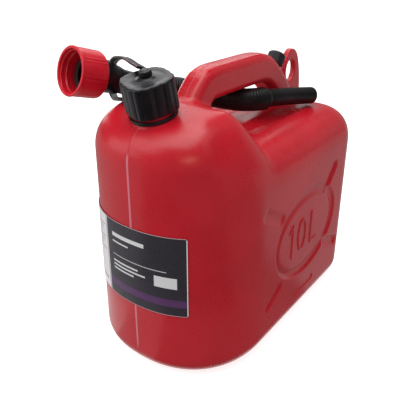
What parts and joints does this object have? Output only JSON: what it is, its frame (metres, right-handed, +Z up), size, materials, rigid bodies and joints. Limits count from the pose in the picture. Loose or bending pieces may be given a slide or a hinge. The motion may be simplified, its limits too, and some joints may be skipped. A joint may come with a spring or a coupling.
{
  "type": "fuel can",
  "caption": "Red plastic fuel can with moulded handle, tethered screw cap, vent cap and a flexible pouring spout stored through the handle.",
  "frame": {"origin": "centre of the flat base, on the mould's parting plane X = 0", "axes": "+Z up from the base; +Y towards the rear, away from the round front end with the filler neck; +X to the can's right-hand flank, the one in the picture"},
  "size_m": [0.2094, 0.3159, 0.3073],
  "materials": {
    "red_moulding": "satin blow-moulded polyethylene with fine grain",
    "red_nut": "satin injection-moulded polyethylene",
    "black_moulding": "satin ribbed polypropylene",
    "black_tether": "satin soft polyethylene",
    "black_spout": "satin corrugated polyethylene",
    "gasket_rubber": "matt rubber",
    "seal_foam": "matt foamed polyethylene",
    "label_film": "semi-gloss printed film"
  },
  "bodies": {
    "root": {"can_body": "red_moulding", "front_label": "label_film", "tether_neck_ring": "black_tether", "tether_strap": "black_tether"},
    "cap_lifter": {"tether_eyelet": "black_tether", "filler_cap_seal": "seal_foam"},
    "filler_cap": {"filler_cap": "black_moulding"},
    "vent_lifter": {"vent_cap_seal": "seal_foam"},
    "vent_cap": {"vent_cap": "black_moulding"},
    "spout": {"flexible_spout": "black_spout", "spout_gasket": "gasket_rubber"},
    "spout_nut": {"spout_union_nut": "red_nut"}
  },
  "joints": [
    {"name": "cap_lift", "type": "slide", "parent": "root", "child": "cap_lifter", "axis": [0, -0.229, 0.9734], "range_m": [0, 0.015], "deforming": ["tether_strap"]},
    {"name": "cap_turn", "type": "hinge", "parent": "cap_lifter", "child": "filler_cap", "pos_m": [0, -0.1197, 0.2584], "axis": [0, -0.229, 0.9734], "range_deg": [0, 1080.5]},
    {"name": "vent_lift", "type": "slide", "parent": "root", "child": "vent_lifter", "axis": [0, 0.5592, 0.829], "range_m": [0, 0.006]},
    {"name": "vent_turn", "type": "hinge", "parent": "vent_lifter", "child": "vent_cap", "pos_m": [0, 0.0988, 0.2773], "axis": [0, 0.5592, 0.829], "range_deg": [0, 720.5]},
    {"name": "spout_shift", "type": "slide", "parent": "root", "child": "spout", "axis": [-0.3, -0.9539, 0], "range_m": [0, 0.012]},
    {"name": "nut_spin", "type": "hinge", "parent": "spout", "child": "spout_nut", "pos_m": [-0.0945, -0.12919, 0.28454], "axis": [0.1819, 0.9464, -0.2668], "continuous": true}
  ],
  "couplings": [
    {"joint": "cap_turn", "follows": "cap_lift", "rad_per_m": 1256.6},
    {"joint": "vent_turn", "follows": "vent_lift", "rad_per_m": 2094.4}
  ]
}
